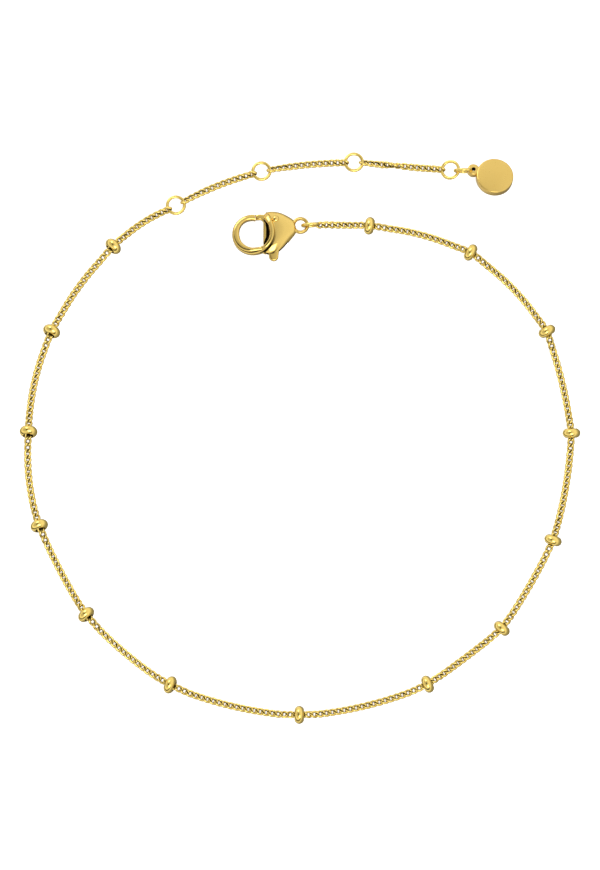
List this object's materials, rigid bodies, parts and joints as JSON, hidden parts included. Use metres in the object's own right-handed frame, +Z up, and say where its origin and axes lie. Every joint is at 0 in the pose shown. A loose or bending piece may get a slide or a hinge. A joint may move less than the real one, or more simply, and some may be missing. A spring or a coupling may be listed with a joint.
{
  "type": "chain anklet",
  "caption": "Fine gold curb-chain anklet with rondelle beads, a lobster clasp and an extender of jump rings that ends in a plain round tag; laid open.",
  "frame": {"origin": "the middle of the bounding box, on the surface that the anklet lies on", "axes": "+Z up, out of the surface; +Y towards the clasp and the extender; +X towards the tag"},
  "size_m": [0.0796, 0.083, 0.0028],
  "materials": {
    "polished_gold": "mirror-polished gold plate, on the cast clasp and the turned beads",
    "chain_gold": "bright gold plate on drawn wire, a little duller between the links",
    "satin_gold": "gold plate with a fine satin face, on the tag"
  },
  "bodies": {
    "anklet": {"bead_01": "polished_gold", "bead_02": "polished_gold", "bead_03": "polished_gold", "bead_04": "polished_gold", "bead_05": "polished_gold", "bead_06": "polished_gold", "bead_07": "polished_gold", "bead_08": "polished_gold", "bead_09": "polished_gold", "bead_10": "polished_gold", "bead_11": "polished_gold", "bead_12": "polished_gold", "bead_13": "polished_gold", "bead_14": "polished_gold", "chain_01": "chain_gold", "chain_02": "chain_gold", "chain_03": "chain_gold", "chain_04": "chain_gold", "chain_05": "chain_gold", "chain_06": "chain_gold", "chain_07": "chain_gold", "chain_08": "chain_gold", "chain_09": "chain_gold", "chain_10": "chain_gold", "chain_11": "chain_gold", "chain_12": "chain_gold", "chain_13": "chain_gold", "chain_14": "chain_gold", "chain_15": "chain_gold", "clasp_body": "polished_gold", "clasp_ring": "chain_gold", "clasp_rivet": "polished_gold", "extender_chain_1": "chain_gold", "extender_chain_2": "chain_gold", "extender_chain_3": "chain_gold", "extender_ring_1": "chain_gold", "extender_ring_2": "chain_gold", "extender_ring_3": "chain_gold", "extender_ring_4": "chain_gold", "tag": "satin_gold", "tag_ring": "chain_gold"},
    "lever": {"clasp_lever": "polished_gold"}
  },
  "joints": [
    {"name": "clasp_lever_hinge", "type": "hinge", "parent": "anklet", "child": "lever", "pos_m": [-0.00347, 0.0314, 0.00118], "axis": [0, 0, 1], "range_deg": [0, 20], "stiffness_Nm_per_rad": 0.01}
  ]
}
